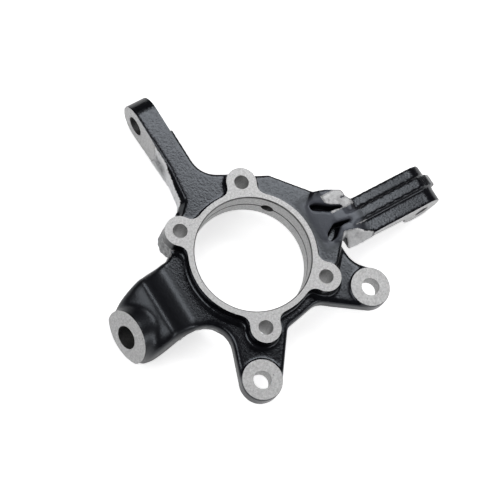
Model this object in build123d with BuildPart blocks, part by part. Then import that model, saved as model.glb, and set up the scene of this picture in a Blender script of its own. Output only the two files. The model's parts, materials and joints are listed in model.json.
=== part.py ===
from build123d import *
from math import asin, atan, atan2, cos, degrees, hypot, radians, sin, sqrt, tan
import os

# Steering knuckle: one iron casting, machined afterwards on its seats and bores.
# Origin: centre of the hub bore on the machined hub face. +Z points outboard, to the wheel.
# +X follows the short side of the hub bolt rectangle, close to vehicle up.
# Depths are given below the hub face, so they count towards -Z.

# Hub seat
bore_d = 91.0            # pilot bore for the hub bearing
ring_depth = 27.0        # hub face to the back of the ring
ring_wall = 12.5         # cast wall outside the bore
land_w = 5.0             # machined land around the bore
bore_chamfer = 0.8
bore_relief = 2.5        # clearance behind the ring
groove_depth = 14.4      # relief groove in the bore wall
groove_w = 1.0
groove_cut = 0.6
hub_bolt_x = 64.0        # hub bolt rectangle
hub_bolt_y = 98.0
hub_bolt_d = 11.5
ear_r = 12.0
ear_depth = 31.0         # bolt seats stand proud of the back of the ring
ear_draft = 2.0          # degrees
ear_blend = 8.0

# Cast levels and edges
web_depth = 5.5          # beside the two long arms
low_depth = 11.0         # beside the caliper lugs and the ball joint boss
web_back = 23.0
base_depth = 39.0        # lowest flats of the boss and the tie rod arm
web_edge = 2.0
low_edge = 3.0

# Speed sensor seat
sensor_d = 10.0
sensor_angle = 30.0
sensor_depth = 14.8
sensor_flat = 68.5       # flat pad, distance from the hub axis
sensor_low = -28.5       # ends of the pad along the ring
sensor_high = 8.7

# Caliper lugs
lug_spacing = 116.0
lug_y = -76.5
lug_hole_d = 14.0
lug_face_r = 15.2
lug_depth = 10.0
lug_thick = 13.0
lug_rim = 0.9            # cast edge outside the machined face
saddle_r = 20.0          # between the boss and the lower lug

# Vehicle up, seen from the wheel, is turned by this much from +X.
# v counts along vehicle up and w across it.
lean = 10.0

# Tie rod arm
rod_w = 139.0
rod_depth = 22.0
rod_hole_d = 16.0
rod_eye_r = 17.0
rod_face_v = -18.7       # lower machined face
rod_eye_t = 16.8         # between the two machined faces
rod_cast_low = 0.7       # cast sides stand proud of the machined faces
rod_cast_high = 2.2
rod_spot_low = 30.0      # radius of the two spot facing cuts
rod_spot_high = 27.0
rod_root_w = 90.0
rod_root_depth = 31.0
rod_root_r = 21.0
rod_bevel = 4.5          # inner edge, widest near the ring
stud_taper = 8.0         # length per unit of diameter, both ball studs

# Ball joint boss
ball_v = -114.4
ball_w = -5.8
ball_depth = 18.0
ball_tilt = 21.5         # the axis rises outboard by this much
ball_r = 21.5
ball_hole_d = 18.6
ball_len = 34.0          # face to nut seat
ball_nut_r = 12.5
ball_neck = 17.0         # round part of the boss behind the face
ball_flat = 15.8         # flattened inboard side
ball_flat_from = 7.2
crest_back = 28.5        # ridge across the boss, behind the centre of its face
crest_depth = 1.2
boss_low_w = -26.5
boss_high_w = 28.0

# Strut arm
strut_high_w = 3.0
strut_width = 33.0
strut_reach = 152.0      # hub axis to the bolt hole
strut_root_v = 76.0
strut_bolt_depth = 31.0
strut_bolt_d = 12.0
strut_ear_r = 17.0
strut_tilt = 6.3         # the arm falls inboard by this much towards its tip
rib_w = 10.0
rib_low_w = -17.2
rib_h = 4.5
nose_len = 20.0          # the rib ends past the bolt hole
fan_depth = 2.8          # raised root of the arm
hollow_depth = 8.0
gate_depth = 2.2         # ground gate mark

bore_r = bore_d / 2
ring_r = bore_r + ring_wall
land_r = bore_r + land_w
lug_r = lug_face_r + lug_rim
rod_low = rod_face_v - rod_cast_low
rod_high = rod_face_v + rod_eye_t + rod_cast_high
strut_low_w = strut_high_w - strut_width
stud_angle = degrees(atan(0.5 / stud_taper))


def car(v, w):
    """hub frame point from vehicle axes"""
    a = radians(lean)
    return (v * cos(a) + w * sin(a), -v * sin(a) + w * cos(a))


def turned(x, y):
    """vehicle axes of a hub frame point"""
    a = radians(lean)
    return (x * cos(a) - y * sin(a), x * sin(a) + y * cos(a))


def radial(angle, radius, along):
    """hub frame point at a radius, moved along the ring"""
    a = radians(angle)
    return (radius * cos(a) - along * sin(a), radius * sin(a) + along * cos(a))


def near(point, dv, dw, r=0):
    """outline corner beside a known centre"""
    return (point[0] + dv, point[1] + dw, r)


def tangent(corner, centre, side):
    """outline corner where a line from another corner touches a lug"""
    dv, dw = centre[0] - corner[0], centre[1] - corner[1]
    reach = sqrt(dv ** 2 + dw ** 2 - lug_r ** 2)
    a = atan2(dw, dv) + side * asin(lug_r / hypot(dv, dw))
    return (corner[0] + reach * cos(a), corner[1] + reach * sin(a), 0)


hub_ears = [(x * hub_bolt_x / 2, y * hub_bolt_y / 2) for x in (1, -1) for y in (1, -1)]
ear_top, ear_right, ear_left, ear_bottom = [turned(*p) for p in hub_ears]
lug_centres = [(lug_spacing / 2, lug_y), (-lug_spacing / 2, lug_y)]
lug_right, lug_left = [turned(*p) for p in lug_centres]

up = Vector(*car(1, 0), 0)
across = Vector(*car(0, 1), 0)


def level(depth):
    return Plane.XY.offset(-depth)


def v_section(v):
    """plane across the vehicle up direction, drawn as (w, z)"""
    return Plane(origin=up * v, x_dir=across, z_dir=up)


def w_section(w):
    """plane along the vehicle up direction, drawn as (v, z), extruding towards -w"""
    return Plane(origin=across * w, x_dir=up, z_dir=across * -1)


def radial_plane(angle, radius):
    """plane square to a radius of the hub, drawn as (along the ring, z)"""
    out = Vector(*radial(angle, 1, 0), 0)
    return Plane(origin=out * radius, x_dir=(-out.Y, out.X, 0), z_dir=out)


def corner_outline(corners):
    """closed outline from (v, w, corner radius)"""
    points = [car(v, w) for v, w, _ in corners]
    FilletPolyline(*points, radius=[r for _, _, r in corners], close=True)


def land_outline(ring, ear):
    """ring with four ears, blended"""
    with BuildSketch() as outline:
        Circle(ring)
        with Locations(*hub_ears):
            Circle(ear)
        fillet(outline.vertices().filter_by(lambda p: abs(Vector(p).length - ring) < 0.01), ear_blend)
    return outline.sketch


def outer_rim(body, radius):
    """edges of the top face that lie outside a radius"""
    rim = body.faces().sort_by(Axis.Z)[-1].edges()
    return [e for e in rim if (e @ 0.5).length > radius]


def hub_body():
    with BuildPart() as body:
        with BuildSketch(level(low_depth)):
            Circle(ring_r)
        extrude(amount=low_depth - ring_depth)
        with BuildSketch():
            add(land_outline(land_r, ear_r))
        extrude(amount=-low_depth)
        with BuildSketch():
            with Locations(*hub_ears):
                Circle(ear_r)
        extrude(amount=-ear_depth, taper=-ear_draft)
    return body.part


def upper_web():
    """web that carries the tie rod arm and the strut arm"""
    pad_high = turned(*radial(sensor_angle, sensor_flat, sensor_high))
    pad_low = turned(*radial(sensor_angle, sensor_flat, sensor_low))
    corners = [
        near(ear_left, 0, 0), near(ear_left, 6, 14.8),
        (rod_low - 6, 62.5, rod_root_r / 2), (rod_low - 1, rod_root_w + 4, 0),
        (rod_high, rod_root_w + 4, 0), (rod_high, rod_root_w - 14, rod_root_r), near(ear_top, 1, 10.2),
        near(ear_top, 15, 1.2, 3), near(pad_high, 0, 0), near(pad_low, 0, 0),
        near(pad_low, 9.5, -4, 4), near(pad_low, 20, -10, 3), (strut_root_v + 19, strut_high_w, 0),
        (strut_root_v + 14, strut_low_w + 6, 0), (strut_root_v + 4, strut_low_w + 9.5, 3),
        (strut_root_v - 1, strut_low_w + 10.5, 3), (strut_root_v - 5, strut_low_w + 7, 3),
        near(ear_right, 17, 4.7), near(ear_right, 0, -3), (0, 0, 0),
    ]
    with BuildPart() as web:
        with BuildSketch(level(web_depth)):
            with BuildLine():
                corner_outline(corners)
            make_face()
        extrude(amount=web_depth - web_back)
        fillet(outer_rim(web, ring_r), web_edge)
    return web.part


def sensor_pad():
    with BuildPart() as pad:
        with BuildSketch(radial_plane(sensor_angle, sensor_flat)):
            with Locations(((sensor_low + sensor_high) / 2, -(web_depth + web_back) / 2)):
                Rectangle(sensor_high - sensor_low, web_back - web_depth)
        extrude(amount=bore_r + ring_wall / 2 - sensor_flat)
    return pad.part


def lower_web():
    """web that carries the ball joint boss and the caliper lugs"""
    saddle = (ear_left[0] + 1.6, boss_low_w, saddle_r)
    chord_left = (*turned(-14, -ring_r - 0.7), 8)
    chord_right = (*turned(18, -ring_r - 0.7), 12)
    throat = near(lug_right, -0.6, 24.3, 20)
    boss_v = ball_v + crest_back + 2
    corners = [
        near(ear_left, 0, 1.3), near(ear_left, -10.5, -4.7, 4), near(ear_left, -16, -12.7, 8),
        (boss_v, boss_high_w, 4), (boss_v, boss_low_w, 4), saddle,
        tangent(saddle, lug_left, -1), (*lug_left, 0), tangent(chord_left, lug_left, 1),
        chord_left, chord_right, tangent(chord_right, lug_right, -1), (*lug_right, 0),
        tangent(throat, lug_right, 1), throat, (strut_root_v - 6.2, strut_low_w, 0),
        (strut_root_v - 6.5, strut_low_w + 10, 0),
    ]
    with BuildPart() as web:
        with BuildSketch(level(low_depth)):
            with BuildLine():
                corner_outline(corners)
            make_face()
        extrude(amount=low_depth - web_back)
        fillet(outer_rim(web, bore_r), low_edge)
    return web.part


def caliper_lugs():
    with BuildPart() as lugs:
        with BuildSketch(level(lug_depth)):
            with Locations(*lug_centres):
                Circle(lug_r)
        extrude(amount=-lug_thick)
        chamfer(lugs.faces().group_by(Axis.Z)[-1].edges(), lug_rim)
    return lugs.part


def rod_arm():
    with BuildPart() as arm:
        with BuildSketch(v_section(rod_low)):
            with BuildLine():
                top = Line((rod_root_w - 4, -web_depth), (rod_w, rod_eye_r - rod_depth))
                nose = ThreePointArc(
                    top @ 1, (rod_w + rod_eye_r, -rod_depth), (rod_w, -rod_depth - rod_eye_r)
                )
                Polyline(
                    nose @ 1, (rod_root_w - 15, -rod_root_depth), (ring_r - ring_wall, -web_back),
                    (ring_r - ring_wall, -low_depth), (rod_root_w - 4, -low_depth), top @ 0,
                )
            make_face()
        extrude(amount=rod_high - rod_low)
        high_side = arm.faces().sort_by(Axis(origin=(0, 0, 0), direction=up))[-1]
        fillet(high_side.edges().filter_by(GeomType.LINE).sort_by(Axis.Z)[-1], web_edge)
        for start, radius, amount in (
            (rod_face_v, rod_spot_low, -2 * rod_cast_high),
            (rod_face_v + rod_eye_t, rod_spot_high, 2 * rod_cast_high),
        ):
            with BuildSketch(v_section(start)):
                with Locations((rod_w, -rod_depth)):
                    Circle(radius)
            extrude(amount=amount, mode=Mode.SUBTRACT)
    return arm.part


def rod_bevel_cut():
    """wedge along the inner top edge of the tie rod arm, narrower towards the eye"""
    sections = (
        (rod_w - 0.7 * rod_spot_low, rod_low, rod_bevel / 4),
        (rod_root_w, rod_low - 1.5, rod_bevel * 0.7),
        (near(ear_left, 0, 20)[1], rod_low - 6, rod_bevel),
        (near(ear_left, 0, 12)[1], rod_low - 14, rod_bevel),
    )
    with BuildPart() as wedge:
        for w, v, size in sections:
            with BuildSketch(w_section(w)):
                with BuildLine():
                    Polyline(
                        (v - 2, -web_depth - size - 2), (v - 2, 2), (v + size + web_depth + 2, 2),
                        (v - 2, -web_depth - size - 2),
                    )
                make_face()
        loft(ruled=True)
    return wedge.part


ball_axis = up * -cos(radians(ball_tilt)) + Vector(0, 0, sin(radians(ball_tilt)))
ball_face = Plane(
    origin=up * ball_v + across * ball_w + Vector(0, 0, -ball_depth),
    x_dir=across * -1, z_dir=ball_axis,
)


def ball_boss():
    """rounded sections that rise to the crest and fall to the tilted face"""
    crest = ball_v + crest_back
    sections = [
        # along v, low w, high w, top depth, bottom depth, corner radius
        (crest + 36, boss_low_w, boss_high_w + 0.5, low_depth, web_back, 3),
        (crest + 20, boss_low_w, boss_high_w, low_depth + 0.3, web_back + 1, 3),
        (crest + 10, boss_low_w, boss_high_w - 0.5, crest_depth + 5.8, web_back + 5, 3.5),
        (crest, boss_low_w - 0.5, boss_high_w - 1.5, crest_depth, base_depth - 3, 4.5),
        (crest - 8, boss_low_w - 1.5, boss_high_w - 3.5, crest_depth + 3.8, base_depth + 0.5, 5),
        (crest - 17, boss_low_w - 2.3, boss_high_w - 6.5, crest_depth + 10.8, base_depth + 0.5, 5),
        (crest - 24, boss_low_w - 1.5, boss_high_w - 11, ball_depth, ball_depth + 19.5, 5),
        (crest - 29, boss_low_w + 2.5, boss_high_w - 18, ball_depth + 5, ball_depth + 16, 5),
    ]
    corner = sqrt(ball_r ** 2 - ball_flat_from ** 2)
    with BuildPart() as boss:
        for v, low, high, top, bottom, r in sections:
            with BuildSketch(v_section(v)):
                with Locations(((low + high) / 2, -(top + bottom) / 2)):
                    RectangleRounded(high - low, bottom - top, r)
        loft(ruled=True)
        with BuildSketch(ball_face):
            with BuildLine():
                ThreePointArc((corner, -ball_flat_from), (0, ball_r), (-corner, -ball_flat_from))
                ThreePointArc((-corner, -ball_flat_from), (0, -ball_flat), (corner, -ball_flat_from))
            make_face()
        extrude(amount=-ball_neck)
    return boss.part


def strut_arm():
    slope = tan(radians(strut_tilt))
    ear_top_z = strut_ear_r - strut_bolt_depth
    root_top_z = ear_top_z + (strut_reach - strut_root_v) * slope
    tip = strut_reach + nose_len
    with BuildPart() as arm:
        with BuildSketch(w_section(strut_high_w)):
            with BuildLine():
                Polyline(
                    (strut_root_v, root_top_z), (strut_reach, ear_top_z), (strut_reach, -strut_bolt_depth),
                    (strut_reach - 24, -strut_bolt_depth + 3), (strut_root_v + 22, -web_back + 2),
                    (strut_root_v, -web_back + 2), (strut_root_v, root_top_z),
                )
            make_face()
            with Locations((strut_reach, -strut_bolt_depth)):
                Circle(strut_ear_r)
        extrude(amount=strut_width)
        with BuildSketch(w_section(rib_low_w + rib_w)):
            with BuildLine():
                FilletPolyline(
                    (strut_root_v, -fan_depth), (strut_root_v + 16, -fan_depth - 0.4),
                    (tip - 17, ear_top_z + rib_h - 0.2), (tip - 7, ear_top_z - 1.5),
                    (tip, -strut_bolt_depth + 6), (tip, -strut_bolt_depth),
                    (strut_reach, -strut_bolt_depth), (strut_root_v, -low_depth),
                    radius=[0, 3, 2, 1.5, 2, 2, 0, 0], close=True,
                )
            make_face()
        extrude(amount=rib_w)
    return arm.part


def root_fan():
    """raised root where the strut arm leaves the ring, rising from the web and falling to the arm"""
    corners = [
        (60, 13.5, 4), (54.5, -1, 8), (56.5, -14, 5), (61, strut_low_w + 10.5, 4),
        (strut_root_v - 5, strut_low_w + 7.5, 3), (strut_root_v, strut_low_w + 10.5, 3),
        (strut_root_v + 4, strut_low_w + 9.5, 3), (strut_root_v + 14, strut_low_w + 6, 0),
        (strut_root_v + 20, strut_low_w + 3, 0), (strut_root_v + 20, strut_high_w - 2, 0),
        (strut_root_v + 15, 12, 3), (strut_root_v + 4, 18, 4), (strut_root_v - 5.5, 21.5, 3),
    ]
    with BuildPart() as fan:
        with BuildSketch(level(0)):
            with BuildLine():
                corner_outline(corners)
            make_face()
        extrude(amount=-web_back)
        with BuildSketch(w_section(strut_width)):
            with BuildLine():
                Polyline(
                    (ring_r - 8, -web_depth - 1), (ring_r + 1, -web_depth + 0.6),
                    (strut_root_v - 2, -fan_depth), (strut_root_v + 7, -fan_depth),
                    (strut_root_v + 21, -fan_depth - 7), (strut_root_v + 21, -web_back),
                    (ring_r - 8, -web_back), (ring_r - 8, -web_depth - 1),
                )
            make_face()
        extrude(amount=2 * strut_width, mode=Mode.INTERSECT)
        with BuildSketch(level(gate_depth)):
            with BuildLine():
                corner_outline([
                    (strut_root_v - 2, 12, 2), (strut_root_v - 3, 19.5, 2), (strut_root_v + 4, 18, 3),
                    (strut_root_v + 15, 12, 3), (strut_root_v + 16, 6, 2), (strut_root_v + 7, 7.5, 3),
                ])
            make_face()
        extrude(amount=gate_depth - low_depth)
    return fan.part


def root_hollows():
    """two pockets beside the middle web of the fan"""
    with BuildPart() as hollows:
        with BuildSketch(level(fan_depth - 1)):
            with BuildLine():
                corner_outline([
                    (61.5, 14, 2), (61.5, 9, 2.2), (strut_root_v - 4, 1.5, 2), (strut_root_v + 9, -1, 0.7),
                    (strut_root_v + 9, 1, 0.7), (strut_root_v + 1, 5, 2), (68, 12, 2.5),
                ])
            make_face()
            with BuildLine():
                corner_outline([
                    (60, -18, 1.5), (62.5, -13, 2), (strut_root_v - 5, -8.5, 2),
                    (strut_root_v + 10, -12, 0.7), (strut_root_v + 10, -13.5, 0.7),
                    (strut_root_v - 1, -13, 3), (68, -19, 2.5), (62, -20, 1),
                ])
            make_face()
        extrude(amount=-hollow_depth)
    return hollows.part


def root_wall_cut():
    """wedge that leans the side wall of the arm's root outwards towards the back"""
    with BuildPart() as wedge:
        for v, reach, deep in ((-3, 11, 22), (8, 8.5, 20), (23, 0.3, 12)):
            with BuildSketch(v_section(strut_root_v + v)):
                with BuildLine():
                    Polyline(
                        (strut_low_w - 3, 0), (strut_low_w + reach, 0), (strut_low_w + reach, -5),
                        (strut_low_w, -deep), (strut_low_w - 3, -deep), (strut_low_w - 3, 0),
                    )
                make_face()
        loft(ruled=True)
    return wedge.part


with BuildPart() as knuckle:
    add(hub_body())
    add(upper_web())
    add(sensor_pad())
    add(lower_web())
    add(caliper_lugs())
    add(root_fan())
    add(rod_arm())
    add(ball_boss())
    add(strut_arm())

    # Inner edge of the tie rod arm; hollows and side wall at the root of the strut arm
    add(rod_bevel_cut(), mode=Mode.SUBTRACT)
    add(root_hollows(), mode=Mode.SUBTRACT)
    add(root_wall_cut(), mode=Mode.SUBTRACT)

    # Hub bore with its mouth chamfer, relief groove and clearance behind the ring
    with BuildSketch(Plane.XZ):
        with BuildLine():
            Polyline(
                (0, ring_depth), (bore_r + bore_chamfer + ring_depth, ring_depth),
                (bore_r + bore_chamfer, 0), (bore_r, -bore_chamfer),
                (bore_r, groove_w / 2 - groove_depth), (bore_r + groove_cut, groove_w / 2 - groove_depth),
                (bore_r + groove_cut, -groove_w / 2 - groove_depth),
                (bore_r, -groove_w / 2 - groove_depth), (bore_r, -ring_depth),
                (bore_r + bore_relief, -ring_depth), (bore_r + bore_relief, -2 * ring_depth),
                (0, -2 * ring_depth), (0, ring_depth),
            )
        make_face()
    revolve(axis=Axis.Z, mode=Mode.SUBTRACT)

    # Hub bolt holes and caliper bolt holes
    with BuildSketch(level(-low_depth)):
        with Locations(*hub_ears):
            Circle(hub_bolt_d / 2)
        with Locations(*lug_centres):
            Circle(lug_hole_d / 2)
    extrude(amount=-2 * base_depth, mode=Mode.SUBTRACT)

    # Tapered seat for the tie rod stud
    with BuildSketch(v_section(rod_face_v)):
        with Locations((rod_w, -rod_depth)):
            Circle(rod_hole_d / 2)
    extrude(amount=rod_eye_t, taper=stud_angle, mode=Mode.SUBTRACT)

    # Tapered seat for the ball joint stud, and its nut seat at the back of the boss
    with BuildSketch(ball_face):
        Circle(ball_hole_d / 2)
    extrude(amount=-ball_len, taper=stud_angle, mode=Mode.SUBTRACT)
    with BuildSketch(ball_face.offset(-ball_len)):
        Circle(ball_nut_r)
    extrude(amount=-2 * ball_nut_r, mode=Mode.SUBTRACT)

    # Sensor bore through the ring wall
    with BuildSketch(radial_plane(sensor_angle, land_r - ring_wall)):
        with Locations((0, -sensor_depth)):
            Circle(sensor_d / 2)
    extrude(amount=sensor_flat, mode=Mode.SUBTRACT)

    # Strut bolt bore
    with BuildSketch(w_section(strut_high_w)):
        with Locations((strut_reach, -strut_bolt_depth)):
            Circle(strut_bolt_d / 2)
    extrude(amount=strut_width, mode=Mode.SUBTRACT)

knuckle.part.label = "steering_knuckle"
os.makedirs("parts", exist_ok=True)
export_step(knuckle.part, "parts/steering_knuckle.step")
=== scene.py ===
import json
import math

import bmesh
import bpy
from bpy.props import FloatProperty, FloatVectorProperty, IntProperty, PointerProperty
from mathutils import Matrix, Vector, noise


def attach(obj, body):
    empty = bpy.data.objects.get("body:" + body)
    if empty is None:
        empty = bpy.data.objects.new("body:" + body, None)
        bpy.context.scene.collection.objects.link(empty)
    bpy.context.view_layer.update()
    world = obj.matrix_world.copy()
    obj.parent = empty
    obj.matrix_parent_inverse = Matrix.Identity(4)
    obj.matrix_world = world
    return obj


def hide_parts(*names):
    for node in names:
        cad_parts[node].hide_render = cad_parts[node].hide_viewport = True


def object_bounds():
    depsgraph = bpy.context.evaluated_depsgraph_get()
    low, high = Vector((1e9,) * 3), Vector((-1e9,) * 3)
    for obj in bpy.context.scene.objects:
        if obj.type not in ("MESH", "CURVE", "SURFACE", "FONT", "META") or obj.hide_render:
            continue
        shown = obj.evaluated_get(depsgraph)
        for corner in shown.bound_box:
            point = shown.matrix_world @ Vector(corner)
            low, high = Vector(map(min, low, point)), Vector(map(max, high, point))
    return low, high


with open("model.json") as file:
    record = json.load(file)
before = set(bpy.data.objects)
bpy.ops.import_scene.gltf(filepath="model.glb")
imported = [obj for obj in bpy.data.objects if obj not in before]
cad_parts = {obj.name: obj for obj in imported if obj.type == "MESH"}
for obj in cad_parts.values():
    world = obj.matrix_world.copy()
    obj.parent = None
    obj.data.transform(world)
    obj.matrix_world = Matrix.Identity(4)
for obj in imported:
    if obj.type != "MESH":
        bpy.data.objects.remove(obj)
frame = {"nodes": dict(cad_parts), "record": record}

bl_info = {
    "name": "Steering Knuckle",
    "version": (1, 0, 0),
    "blender": (4, 5, 0),
    "location": "View3D > Sidebar > Knuckle",
    "description": "Dresses a cast steering knuckle: soft casting, machined seats and studio",
    "category": "Object",
}

CAD_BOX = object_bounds()
NODE = "steering_knuckle"
PIECE = "knuckle_casting"
MOUNTS = {m["name"]: m for m in frame["record"]["mounts"]}
# The third slot is darker iron: painted shade in deep bores and in bands of the hub bore
PAINT, BARE, PAINTED_SHADE = 0, 1, 2      # material slots

# Sizes are millimetres, places in the scene are metres. OUT faces the wheel, and the
# vehicle's up, seen from the wheel, is turned by LEAN from +X.
LEAN = math.radians(10)
UP = Vector((math.cos(LEAN), -math.sin(LEAN), 0))
ACROSS = Vector((math.sin(LEAN), math.cos(LEAN), 0))
OUT = Vector((0, 0, 1))


def mm(*values):
    """vector in metres from millimetres"""
    return Vector(values) / 1000


def car(up, across, height):
    """point from vehicle up, across and height, in millimetres"""
    return (UP * up + ACROSS * across + OUT * height) / 1000


def car_place(point):
    """vehicle up, across and height of a point, in millimetres"""
    return point.dot(UP) * 1000, point.dot(ACROSS) * 1000, point.z * 1000


def turned(centre, axis, along=None):
    """placing matrix with its Z on axis and its X on along, or anywhere square to Z"""
    z = axis.normalized()
    x = (along or z.orthogonal()).normalized()
    turn = Matrix((x, z.cross(x), z)).transposed().to_4x4()
    return Matrix.Translation(centre) @ turn


def tube(bm, start, end, r1, r2=None, segments=64, slot=BARE):
    """closed round bar or taper from start to end, radii in millimetres"""
    span = end - start
    made = bmesh.ops.create_cone(
        bm, cap_ends=True, segments=segments, radius1=r1 / 1000,
        radius2=(r1 if r2 is None else r2) / 1000, depth=span.length,
        matrix=turned((start + end) / 2, span),
    )
    for face in {f for v in made["verts"] for f in v.link_faces}:
        face.material_index = slot


def block(bm, centre, size, along=None, axis=OUT):
    """closed rectangular block, its third side along axis"""
    scale = Matrix.Diagonal((*mm(*size), 1))
    bmesh.ops.create_cube(bm, size=1, matrix=turned(centre, axis, along) @ scale)


def to_object(bm, name, slot=PAINT):
    """object of a bmesh; faces that have no material yet take slot"""
    bmesh.ops.recalc_face_normals(bm, faces=bm.faces)
    for face in bm.faces:
        face.material_index = face.material_index or slot
    mesh = bpy.data.meshes.new(name)
    bm.to_mesh(mesh)
    bm.free()
    obj = bpy.data.objects.new(name, mesh)
    bpy.context.scene.collection.objects.link(obj)
    return obj


def modify(obj, kind, **values):
    """gives obj a modifier with these settings"""
    modifier = obj.modifiers.new(kind.lower(), kind)
    for key, value in values.items():
        setattr(modifier, key, value)


def settle(obj):
    """applies the modifiers of obj to its mesh"""
    depsgraph = bpy.context.evaluated_depsgraph_get()
    mesh = bpy.data.meshes.new_from_object(obj.evaluated_get(depsgraph))
    obj.modifiers.clear()
    old = obj.data
    obj.data = mesh
    bpy.data.meshes.remove(old)


# Machined faces and bores, in millimetres

CLEAR = 20               # how far a cutter stands off the face that it machines
TAPER = 1 / 16           # radius that both joint seats lose per length
STOCK = 3                # raised on the hub ring, the lugs and the ball joint face
THROUGH = -60            # height at which an upright cutter has left the casting

RING_PLANE = 140         # side of the square that faces the hub ring
PILOT_R = MOUNTS["hub_bore"]["dims"]["r_mm"]
PILOT_DEPTH = 30
MOUTH_CHAMFER = 0.8
MOUTH_BAND = 1.3         # depth of the painted shade band at the mouth
GROOVE_LOW, GROOVE_TOP, GROOVE_R = -14.9, -13.9, 46.1
GROOVE_BAND = 0.4        # painted shade band above and below the groove
RELIEF_TOP, RELIEF_R = -27, 48
EAR_DEPTH, EAR_CLEAR = 30.9, 9

LUG_FACE = MOUNTS["caliper_bolts"]["pos_m"][2] * 1000
LUG_DEPTH, LUG_SPOT_R = 12.9, 20

BALL_TILT = math.radians(21.5)
BALL_FACE = car(-114.4, -5.8, -18)
BALL_AXIS = UP * -math.cos(BALL_TILT) + OUT * math.sin(BALL_TILT)
BALL_PLANE = 60          # side of the square that faces the boss
BALL_R, BALL_DEPTH, BALL_CLEAR = 9.3, 35, 8
NUT_SEAT, NUT_SEAT_R = (34, 62), 12.5    # from and to, behind the ball joint face

ROD_EYE = (139, -22)     # across and height
ROD_FACES = (-18.7, -1.9)
ROD_STOCK = (0.7, 2.2)
ROD_SPOT_R = (30, 27)
ROD_R, ROD_CLEAR = 8.0, 8.4

STRUT_SIDE = -30         # low side of the strut arm, across
STRUT_STOCK = 0.6
STRUT_PLANE = (78, 60, 10)
STRUT_MID = (137, -25)   # up and height
STRUT_CLEAR, SENSOR_CLEAR = 8, 12
HOLLOW_FLOOR = -9.8      # height of the two hollows in the strut arm root
HOLLOW_DEEPER = 5

WELD = 1e-7              # metres between two vertices that are one
SAME_WAY = 0.9995        # least cosine between a face and the direction it is picked by
FLUSH = 0.05             # farthest that a picked face lies from its plane


def rod_point(up):
    """point on the axis of the tie rod eye"""
    return car(up, *ROD_EYE)


def bore_bar(bm, name, grow=0.0, before=0.0, after=0.0, slot=BARE):
    """bar through a bore mount, in the direction of its axis"""
    m = MOUNTS[name]
    centre, axis = Vector(m["pos_m"]), Vector(m["axis"]).normalized()
    half = axis * m["dims"]["length_mm"] / 2000
    start, end = centre - half - axis * before / 1000, centre + half + axis * after / 1000
    tube(bm, start, end, m["dims"]["r_mm"] + grow, slot=slot)


def pattern_bars(bm, name, low, high, grow=0.0, radius=None):
    """upright bars on the holes of a rectangle or a line, heights from its face"""
    m = MOUNTS[name]
    dims = m["dims"]
    x, y = dims["spacing_x_mm"] / 2, dims.get("spacing_y_mm", 0) / 2
    for a in (x, -x):
        for b in (y, -y) if y else (0,):
            hole = Vector(m["pos_m"]) + mm(a, b, 0)
            tube(bm, hole + mm(0, 0, low), hole + mm(0, 0, high),
                 radius or dims["hole_r_mm"] + grow)


def taper_bar(bm, mouth, inward, radius, before, depth):
    """taper for a joint seat, with this radius at its mouth, in the darker iron of painted shade
    """
    tube(bm, mouth - inward * (before / 1000), mouth + inward * (depth / 1000),
         radius + before * TAPER, radius - depth * TAPER, slot=PAINTED_SHADE)


def raise_faces(cad):
    """raises the machined faces, as in the raw casting, and deepens the hollows"""
    cad.faces.ensure_lookup_table()
    for normal, offset, rise in (
        (OUT, 0, STOCK),
        (OUT, LUG_FACE, STOCK),
        (BALL_AXIS, BALL_FACE.dot(BALL_AXIS) * 1000, STOCK),
        (-UP, -ROD_FACES[0], ROD_STOCK[0]),
        (UP, ROD_FACES[1], ROD_STOCK[1]),
        (-ACROSS, -STRUT_SIDE, STRUT_STOCK),
        (OUT, HOLLOW_FLOOR, -HOLLOW_DEEPER),
    ):
        faces = [
            f for f in cad.faces
            if f.normal.dot(normal) > SAME_WAY
            and abs(f.calc_center_median().dot(normal) * 1000 - offset) < FLUSH
        ]
        grown = bmesh.ops.extrude_face_region(cad, geom=faces)["geom"]
        moved = [v for v in grown if isinstance(v, bmesh.types.BMVert)]
        bmesh.ops.translate(cad, verts=moved, vec=normal * (rise / 1000))
        bmesh.ops.delete(cad, geom=faces, context="FACES_ONLY")


def bore_plugs():
    """bars that fill the bores up to the stock, each a little wider than its bore"""
    bm = bmesh.new()
    tube(bm, mm(0, 0, -PILOT_DEPTH), mm(0, 0, STOCK), PILOT_R + 0.9, segments=128)
    pattern_bars(bm, "hub_bolts", -EAR_DEPTH, STOCK, grow=0.45)
    pattern_bars(bm, "caliper_bolts", -LUG_DEPTH, STOCK, grow=0.4)
    tube(bm, rod_point(ROD_FACES[0] - ROD_STOCK[0]), rod_point(ROD_FACES[1] + ROD_STOCK[1]),
         ROD_R + 0.5)
    low, high = BALL_AXIS * ((0.5 - BALL_DEPTH) / 1000), BALL_AXIS * (STOCK / 1000)
    tube(bm, BALL_FACE + low, BALL_FACE + high, BALL_R + 0.5)
    bore_bar(bm, "strut_bolt", grow=0.4)
    bore_bar(bm, "sensor_bore", grow=0.4, before=0.5)
    return to_object(bm, "plugs")


# The cutters are kept apart, because shells that overlap inside one cutter cancel out

def face_cutters():
    """planes and round spot faces that machine the stock away"""
    bm = bmesh.new()
    block(bm, mm(0, 0, CLEAR / 2), (RING_PLANE, RING_PLANE, CLEAR))
    pattern_bars(bm, "caliper_bolts", 0, CLEAR, radius=LUG_SPOT_R)
    block(bm, BALL_FACE + BALL_AXIS * (CLEAR / 2000), (BALL_PLANE, BALL_PLANE, CLEAR),
          axis=BALL_AXIS)
    for face, radius, away in zip(ROD_FACES, ROD_SPOT_R, (-CLEAR, CLEAR)):
        tube(bm, rod_point(face), rod_point(face + away), radius)
    up, height = STRUT_MID
    block(bm, car(up, STRUT_SIDE - STRUT_PLANE[2] / 2, height), STRUT_PLANE, UP, ACROSS)
    return to_object(bm, "face_cutters", BARE)


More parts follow.
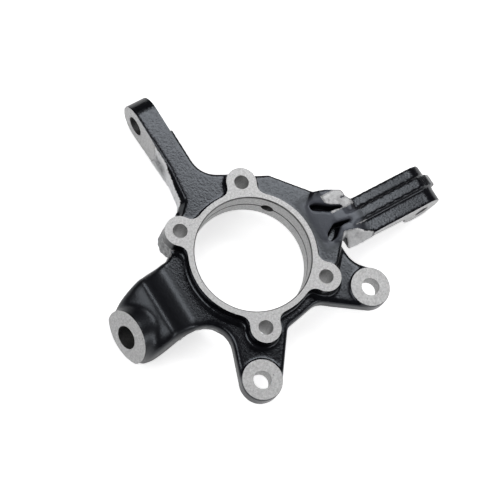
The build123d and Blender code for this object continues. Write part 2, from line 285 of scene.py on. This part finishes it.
def pilot_cutter():
    """hub pilot bore with its mouth chamfer, relief groove and clearance behind"""
    bm = bmesh.new()
    band_top, band_low = GROOVE_TOP + GROOVE_BAND, GROOVE_LOW - GROOVE_BAND
    mouth_r = PILOT_R + MOUTH_CHAMFER
    profile = [
        (0, CLEAR), (mouth_r + CLEAR, CLEAR), (mouth_r, 0), (PILOT_R, -MOUTH_CHAMFER),
        (PILOT_R, -MOUTH_BAND), (PILOT_R, band_top), (PILOT_R, GROOVE_TOP),
        (GROOVE_R, GROOVE_TOP), (GROOVE_R, GROOVE_LOW), (PILOT_R, GROOVE_LOW),
        (PILOT_R, band_low), (PILOT_R, RELIEF_TOP), (RELIEF_R, RELIEF_TOP),
        (RELIEF_R, THROUGH), (0, THROUGH),
    ]
    verts = [bm.verts.new(mm(r, 0, z)) for r, z in profile]
    edges = [bm.edges.new(pair) for pair in zip(verts, verts[1:])]
    bmesh.ops.spin(
        bm, geom=verts + edges, axis=OUT, cent=(0, 0, 0), angle=math.tau, steps=144,
        use_merge=True,
    )
    bmesh.ops.remove_doubles(bm, verts=bm.verts, dist=WELD)
    # Faces in the bands at the mouth and around the groove take the darker iron of painted shade
    for face in bm.faces:
        z = face.calc_center_median().z * 1000
        if -MOUTH_BAND < z < 0 or band_low < z < band_top:
            face.material_index = PAINTED_SHADE
    return to_object(bm, "pilot_cutter", BARE)


def hole_cutters():
    """bolt holes, joint seats and strut bolt bore, none of which meet"""
    bm = bmesh.new()
    pattern_bars(bm, "hub_bolts", THROUGH, EAR_CLEAR)
    pattern_bars(bm, "caliper_bolts", THROUGH, CLEAR)
    rod_depth = ROD_FACES[1] - ROD_FACES[0] + ROD_CLEAR
    taper_bar(bm, rod_point(ROD_FACES[0]), UP, ROD_R, ROD_CLEAR, rod_depth)
    taper_bar(bm, BALL_FACE, -BALL_AXIS, BALL_R, BALL_CLEAR, BALL_DEPTH)
    bore_bar(bm, "strut_bolt", before=STRUT_CLEAR, after=STRUT_CLEAR)
    return to_object(bm, "hole_cutters", BARE)


def crossing_cutters():
    """bores that run into another bore: nut seat and speed sensor"""
    bm = bmesh.new()
    start, end = (BALL_FACE - BALL_AXIS * (depth / 1000) for depth in NUT_SEAT)
    # The nut seat and the sensor bore take the darker iron of painted shade
    tube(bm, start, end, NUT_SEAT_R, slot=PAINTED_SHADE)
    bore_bar(bm, "sensor_bore", before=SENSOR_CLEAR, after=SENSOR_CLEAR, slot=PAINTED_SHADE)
    return to_object(bm, "crossing_cutters", BARE)


# Areas of the cast skin: centre and half sizes (up, across, height) and blur in millimetres

SOFT_BOSS = ((-88, 0, -16), (22, 40, 26), 8)

SATIN_AND_SHEEN = (
    # box; amount of satin, above 1 with lighter paint, a painted sheen
    (((-90, 0, -16), (30, 45, 30), 16), 1),      # ball joint boss
    (((74, -3, 0), (20, 22, 8.5), 9), 2),        # top of the strut arm root, with painted sheen
)

GROUND = (
    # box; facing and least cosine; amount of grinding, above 1 cleaner; lift of the noise
    (((-54, 43, -21), (9, 14, 11), 4), -UP, 0.5, 1.0, 0.8),          # wall of the left ear
    (((-22, 80, -34), (14, 34, 28), 2), -UP, 0.8, 2.2, 0.1),         # tie rod arm, low wall
    (((-22, 101, -21), (14, 8, 7), 12), -UP, 0.6, 1.0, 0.6),         # rough part of that wall
    (((84, -30, -22), (13, 12, 19), 2), -ACROSS, 0.4, 1.8, 0.2),     # strut arm root, low wall
    (((84.5, 6.5, -3), (11, 8, 5), 2), OUT, 0.7, 1.6, 0.05),         # gate mark
    (((-62, -27, -21), (24, 10, 4), 4), -ACROSS, 0.3, 1.0, 0.5),     # saddle at the boss
)

COARSE, FINE, FINE_SHARE = 300, 700, 0.6     # noise of a ground face


def inside(place, centre, half, blur):
    """1 well inside a box, 0 outside, with a blurred edge"""
    depth = min(h - abs(p - c) for p, c, h in zip(place, centre, half))
    return min(max(depth / blur + 0.5, 0), 1)


def boss_group(obj):
    """weights that leave the extra softening to the ball joint boss"""
    group = obj.vertex_groups.new(name="boss")
    for vert in obj.data.vertices:
        weight = inside(car_place(vert.co), *SOFT_BOSS)
        if weight > 0:
            group.add([vert.index], weight, "REPLACE")


def grind(obj, depth):
    """marks ground areas, and satin areas with their painted sheen, in vertex attributes and
    roughens the ground ones
    """
    ground, satin = [], []
    for vert in obj.data.vertices:
        place = car_place(vert.co)
        satin.append(max(amount * inside(place, *box) for box, amount in SATIN_AND_SHEEN))
        value = lift = 0.0
        for box, facing, least, amount, rise in GROUND:
            if vert.normal.dot(facing) > least:
                share = inside(place, *box)
                value += (amount - value) * share
                lift += (rise - lift) * share
        ground.append(value)
        if lift > 0:
            rough = noise.noise(vert.co * COARSE) + FINE_SHARE * noise.noise(vert.co * FINE)
            vert.co += vert.normal * (rough * lift * depth / 1000)
    for name, data in (("ground", ground), ("satin", satin)):
        layer = obj.data.attributes.new(name, "FLOAT", "POINT")
        layer.data.foreach_set("value", data)


# Materials

MIX_SOCKETS = {"FLOAT": (2, 3, 0), "RGBA": (6, 7, 2)}    # inputs A and B, and the output
RAGGED = 1.6                     # how far noise moves the edge of a ground patch
BARE_EDGE = (1.36, 1.44)         # from paint to bare iron, on ground value plus noise
CLEAN_EDGE = (1.2, 2.1)          # from rough to clean iron, on the ground value
PAINT_GLOSS = (0.15, 0.27)       # least and greatest roughness of the paint
SATIN_GLOSS = 0.35
GROUND_GLOSS, GROUND_METAL = 0.6, 0.4
PAINT_TINT = (0.86, 0.92, 1.0, 1)
TURNED_DEPTH = 0.00012           # depth of the tool marks, in metres
TURNED_GLOSS = (0.5, 0.68)
PORE = 0.12                      # grey of the open pores


class Nodes:
    """builds one node material, its patterns in object coordinates"""

    def __init__(self, name):
        self.material = bpy.data.materials.new(name)
        self.material.use_nodes = True
        self.tree = self.material.node_tree
        self.place = self.add("ShaderNodeTexCoord").outputs["Object"]

    def put(self, sockets, values):
        """links sockets to node outputs or sets them to plain values"""
        for key, value in values.items():
            if isinstance(value, bpy.types.NodeSocket):
                self.tree.links.new(value, sockets[key])
            else:
                sockets[key].default_value = value

    def add(self, kind, inputs=None, **settings):
        """node with its settings, its inputs set or linked"""
        node = self.tree.nodes.new(kind)
        for key, value in settings.items():
            setattr(node, key, value)
        self.put(node.inputs, inputs or {})
        return node

    def surface(self, inputs):
        """fills in the shader and returns the finished material"""
        self.put(self.tree.nodes["Principled BSDF"].inputs, inputs)
        return self.material

    def attribute(self, name):
        """value of a vertex attribute"""
        return self.add("ShaderNodeAttribute", attribute_name=name).outputs["Fac"]

    def noise(self, scale, detail=2.0, rough=0.5):
        """cloudy pattern from 0 to 1, scale in waves per metre"""
        inputs = {"Vector": self.place, "Scale": scale, "Detail": detail, "Roughness": rough}
        return self.add("ShaderNodeTexNoise", inputs).outputs["Fac"]

    def ramp(self, source, low, high, a, b):
        """colour a below low, colour b above high"""
        node = self.add("ShaderNodeValToRGB", {"Fac": source})
        for element, place, colour in zip(node.color_ramp.elements, (low, high), (a, b)):
            element.position, element.color = place, colour
        return node.outputs["Color"]

    def span(self, source, low, high, a, b):
        """value a below low, value b above high"""
        inputs = {"Value": source, "From Min": low, "From Max": high, "To Min": a, "To Max": b}
        return self.add("ShaderNodeMapRange", inputs).outputs["Result"]

    def mix(self, kind, factor, a, b):
        """value or colour a where the factor is 0, b where it is 1"""
        first, second, result = MIX_SOCKETS[kind]
        node = self.add("ShaderNodeMix", {0: factor, first: a, second: b}, data_type=kind)
        return node.outputs[result]

    def scaled_sum(self, source, factor, rest):
        """source times factor, plus the rest"""
        inputs = {0: source, 1: factor, 2: rest}
        return self.add("ShaderNodeMath", inputs, operation="MULTIPLY_ADD").outputs[0]

    def bump(self, height, depth):
        """normal of a height pattern, depth in metres"""
        return self.add("ShaderNodeBump", {"Height": height, "Distance": depth}).outputs["Normal"]


def grey(value):
    """opaque grey"""
    return (value, value, value, 1)


def shade(colour, share=1.0):
    """opaque colour at a share of its brightness"""
    return (*(c * share for c in colour), 1)


def paint_material(settings):
    """black paint on sand cast grain, lighter at the strut arm root as a painted sheen, and broken
    by ground patches
    """
    n = Nodes("black_casting_paint")
    ground, satin = n.attribute("ground"), n.attribute("satin")

    # Ragged edge of the ground patches: rough iron up to 1, clean iron towards 2
    ragged = n.scaled_sum(n.noise(220, detail=5, rough=0.65), RAGGED, ground)
    bare = n.span(ragged, *BARE_EDGE, 0, 1)
    rough = n.ramp(n.noise(420, detail=4, rough=0.7), 0.35, 0.65, grey(0.2), grey(0.6))
    clean = n.ramp(n.noise(300, detail=5, rough=0.7), 0.3, 0.45, grey(0.6), grey(0.95))
    iron = n.mix("RGBA", n.span(ground, *CLEAN_EDGE, 0, 1), rough, clean)

    # The paint turns satin up to 1, and from there to 2 lighter, a painted sheen
    dark, full = shade(settings.paint_colour, 0.5), shade(settings.paint_colour)
    paint = n.ramp(n.noise(260, detail=3, rough=0.6), 0.35, 0.7, dark, full)
    paint = n.mix("RGBA", n.span(satin, 1, 2, 0, 1), paint, shade(settings.painted_sheen_colour))
    gloss = n.span(n.noise(500, detail=3), 0.3, 0.7, *PAINT_GLOSS)
    gloss = n.mix("FLOAT", satin, gloss, SATIN_GLOSS)

    return n.surface({
        "Base Color": n.mix("RGBA", bare, paint, iron),
        "Roughness": n.mix("FLOAT", bare, gloss, GROUND_GLOSS),
        "Metallic": n.mix("FLOAT", bare, 0.0, GROUND_METAL),
        "Normal": n.bump(n.noise(620, detail=1.5), settings.grain_depth),
        "IOR": 1.5,
        "Specular Tint": PAINT_TINT,
    })


def bare_material(name, colour, share=1.0):
    """fine turned and milled iron with open pores, darkened by share into painted shade"""
    n = Nodes(name)
    dark, full = shade(colour, 0.66 * share), shade(colour, share)
    skin = n.ramp(n.noise(650, detail=6, rough=0.75), 0.36, 0.62, dark, full)
    pores = n.span(n.noise(700, rough=0.6), 0.27, 0.32, 1, 0)
    return n.surface({
        "Base Color": n.mix("RGBA", pores, skin, grey(PORE)),
        "Roughness": n.span(n.noise(1500, detail=3), 0.3, 0.7, *TURNED_GLOSS),
        "Metallic": 1.0,
        "Normal": n.bump(n.noise(900, detail=4, rough=0.7), TURNED_DEPTH),
    })


# Studio, in metres

FLOOR_SIZE, FLOOR_GAP = 3, 0.0005            # half its side, and its gap below the part
FLOOR_SEEN, FLOOR_MIRRORED = 0.72, 0.3       # glow to the camera and in reflections
ROOM_LIGHT = (0.05, 0.05, 0.055, 1)

SOFT_BOXES = (
    # name, its power setting, place, aim, two sides, direction of the first side if not level
    ("overhead_soft_box", "overhead_power", (0.664, 0.291, 1.1), (0.664, 0.291, 0), (0.5, 0.85),
     (0.866, 0.5, 0)),
    ("left_soft_box", "left_power", (-0.62, 0.3, 0.95), (0, 0, 0), (0.6, 0.75), None),
    ("near_soft_box", "near_power", (0.4, -1.1, 0.5), (0, 0, 0), (1, 0.3), None),
)

# Camera, worked out from the photograph
CAMERA_PLACE = Vector((-0.42515, -0.13542, 1.11397))
CAMERA_RIGHT = Vector((0.72396, -0.66219, 0.19334)).normalized()
CAMERA_UP = Vector((0.59206, 0.74028, 0.31852)).normalized()
LENS, SENSOR = 113.5, 36                     # millimetres


def floor_material():
    """matt white that glows to the camera, and less in reflections"""
    n = Nodes("white_floor")
    path = n.add("ShaderNodeLightPath").outputs
    seen = n.span(path["Is Camera Ray"], 0, 1, 0, FLOOR_SEEN)
    return n.surface({
        "Base Color": grey(0.9),
        "Roughness": 0.9,
        "Emission Color": grey(1),
        "Emission Strength": n.scaled_sum(path["Is Glossy Ray"], FLOOR_MIRRORED, seen),
    })


def soft_box(name, power, place, aim, sides, along):
    """rectangular area light"""
    light = bpy.data.lights.new(name, "AREA")
    light.shape = "RECTANGLE"
    light.size, light.size_y = sides
    light.energy = power
    obj = bpy.data.objects.new(name, light)
    bpy.context.scene.collection.objects.link(obj)
    beam = Vector(place) - Vector(aim)
    obj.matrix_world = turned(Vector(place), beam, Vector(along or (-beam.y, beam.x, 0)))


def photo_camera():
    """camera at the place and with the lens of the photograph"""
    data = bpy.data.cameras.new("photo_camera")
    data.lens, data.sensor_width = LENS, SENSOR
    data.clip_start, data.clip_end = 0.1, 20
    obj = bpy.data.objects.new("photo_camera", data)
    bpy.context.scene.collection.objects.link(obj)
    turn = Matrix((CAMERA_RIGHT, CAMERA_UP, CAMERA_RIGHT.cross(CAMERA_UP))).transposed()
    obj.matrix_world = Matrix.Translation(CAMERA_PLACE) @ turn.to_4x4()
    bpy.context.scene.camera = obj


# Operators

SHARP = math.radians(32)     # edges above this angle stay sharp
PAINTED_SHADE_SHARE = 0.3             # of the iron colour: painted shade inside deep bores and in bands of the hub bore


class KnuckleSettings(bpy.types.PropertyGroup):
    """Sizes, colours and lamp powers that a user may change"""
    voxel: FloatProperty(
        name="Casting resolution", description="Voxel size of the soft casting",
        default=0.00095, min=0.0008, max=0.004, precision=5, unit="LENGTH")
    soften: IntProperty(
        name="Softening", description="Smoothing steps that round the cast edges",
        default=9, min=0, max=40)
    boss_soften: IntProperty(
        name="Boss softening", description="Extra smoothing steps on the ball joint boss",
        default=110, min=0, max=160)
    grind_depth: FloatProperty(
        name="Grinding", description="Scale of the roughness of the ground patches",
        default=1, min=0, max=2, subtype="FACTOR")
    keep: FloatProperty(
        name="Triangles kept", description="Share of the raw casting's triangles that is kept",
        default=0.8, min=0.1, max=1, subtype="FACTOR")
    grain_depth: FloatProperty(
        name="Casting grain", description="Depth of the sand grain",
        default=0.00011, min=0, max=0.001, precision=5, unit="LENGTH")
    paint_colour: FloatVectorProperty(
        name="Paint", description="Colour of the black paint",
        default=(0.006, 0.006, 0.008), min=0, max=1, subtype="COLOR")
    # Lighter paint on the strut arm root: a painted sheen
    painted_sheen_colour: FloatVectorProperty(
        name="Painted sheen", description="Colour of the painted sheen on the strut arm root",
        default=(0.075, 0.08, 0.095), min=0, max=1, subtype="COLOR")
    iron_colour: FloatVectorProperty(
        name="Machined iron", description="Colour of the bare machined iron",
        default=(0.7, 0.7, 0.7), min=0, max=1, subtype="COLOR")
    overhead_power: FloatProperty(
        name="Overhead lamp", description="Power of the overhead soft box",
        default=7.8, min=0, unit="POWER")
    left_power: FloatProperty(
        name="Left lamp", description="Power of the left soft box",
        default=5, min=0, unit="POWER")
    near_power: FloatProperty(
        name="Near lamp", description="Power of the low near soft box",
        default=4.6, min=0, unit="POWER")


def raw_casting(settings):
    """the frame's solid with its stock on and its bores filled, as one voxel mesh"""
    cad = bmesh.new()
    cad.from_mesh(frame["nodes"][NODE].data)
    bmesh.ops.remove_doubles(cad, verts=cad.verts, dist=WELD)
    raise_faces(cad)
    raw, plugs = to_object(cad, PIECE), bore_plugs()
    with bpy.context.temp_override(active_object=raw, selected_editable_objects=[raw, plugs]):
        bpy.ops.object.join()
    modify(raw, "REMESH", mode="VOXEL", voxel_size=settings.voxel)
    settle(raw)
    return raw


def soften(obj, settings):
    """rounds the cast edges, most of all at the ball joint boss"""
    boss_group(obj)
    modify(obj, "SMOOTH", factor=0.5, iterations=settings.soften)
    modify(obj, "SMOOTH", factor=0.5, iterations=settings.boss_soften, vertex_group="boss")
    settle(obj)


def machine(obj):
    """cuts the faces and then the bores into the soft casting"""
    for cutter in (face_cutters(), pilot_cutter(), hole_cutters(), crossing_cutters()):
        for material in obj.data.materials:
            cutter.data.materials.append(material)
        modify(obj, "BOOLEAN", operation="DIFFERENCE", solver="MANIFOLD", object=cutter)
        settle(obj)
        bpy.data.objects.remove(cutter)


class OBJECT_OT_knuckle_casting(bpy.types.Operator):
    """Builds the soft casting from the frame and machines its faces and bores"""
    bl_idname = "object.knuckle_casting"
    bl_label = "Casting"

    def execute(self, context):
        settings = context.scene.knuckle
        raw = raw_casting(settings)
        soften(raw, settings)
        raw.data.materials.clear()
        for material in (
            paint_material(settings),
            bare_material("machined_iron", settings.iron_colour),
            # Darker iron: painted shade in deep bores
            bare_material("bored_iron", settings.iron_colour, PAINTED_SHADE_SHARE),
        ):
            raw.data.materials.append(material)
        grind(raw, settings.grind_depth)
        modify(raw, "DECIMATE", ratio=settings.keep)
        settle(raw)
        machine(raw)
        raw.data.shade_smooth()
        raw.data.set_sharp_from_angle(angle=SHARP)
        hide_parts(NODE)
        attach(raw, "root")
        return {"FINISHED"}


class OBJECT_OT_knuckle_studio(bpy.types.Operator):
    """Sets the pale floor, the soft lamps and the camera"""
    bl_idname = "object.knuckle_studio"
    bl_label = "Studio"

    def execute(self, context):
        scene = context.scene
        bm = bmesh.new()
        level = Matrix.Translation((0, 0, CAD_BOX[0][2] - FLOOR_GAP))
        bmesh.ops.create_grid(bm, x_segments=1, y_segments=1, size=FLOOR_SIZE, matrix=level)
        floor = to_object(bm, "floor")
        floor.data.materials.append(floor_material())
        for name, power, *layout in SOFT_BOXES:
            soft_box(name, getattr(scene.knuckle, power), *layout)
        world = bpy.data.worlds.new("studio")
        world.use_nodes = True
        world.node_tree.nodes["Background"].inputs["Color"].default_value = ROOM_LIGHT
        scene.world = world
        scene.view_settings.view_transform = "Standard"
        photo_camera()
        return {"FINISHED"}


class VIEW3D_PT_knuckle(bpy.types.Panel):
    """Lists the settings and the operators"""
    bl_label = "Steering Knuckle"
    bl_space_type = "VIEW_3D"
    bl_region_type = "UI"
    bl_category = "Knuckle"

    def draw(self, context):
        for name in KnuckleSettings.__annotations__:
            self.layout.prop(context.scene.knuckle, name)
        for operator in (OBJECT_OT_knuckle_casting, OBJECT_OT_knuckle_studio):
            self.layout.operator(operator.bl_idname)


CLASSES = (KnuckleSettings, OBJECT_OT_knuckle_casting, OBJECT_OT_knuckle_studio, VIEW3D_PT_knuckle)


def register():
    for cls in CLASSES:
        bpy.utils.register_class(cls)
    bpy.types.Scene.knuckle = PointerProperty(type=KnuckleSettings)


def unregister():
    del bpy.types.Scene.knuckle
    for cls in reversed(CLASSES):
        bpy.utils.unregister_class(cls)


def main():
    register()
    bpy.ops.object.knuckle_casting()
    bpy.ops.object.knuckle_studio()


if __name__ == "__main__":
    main()
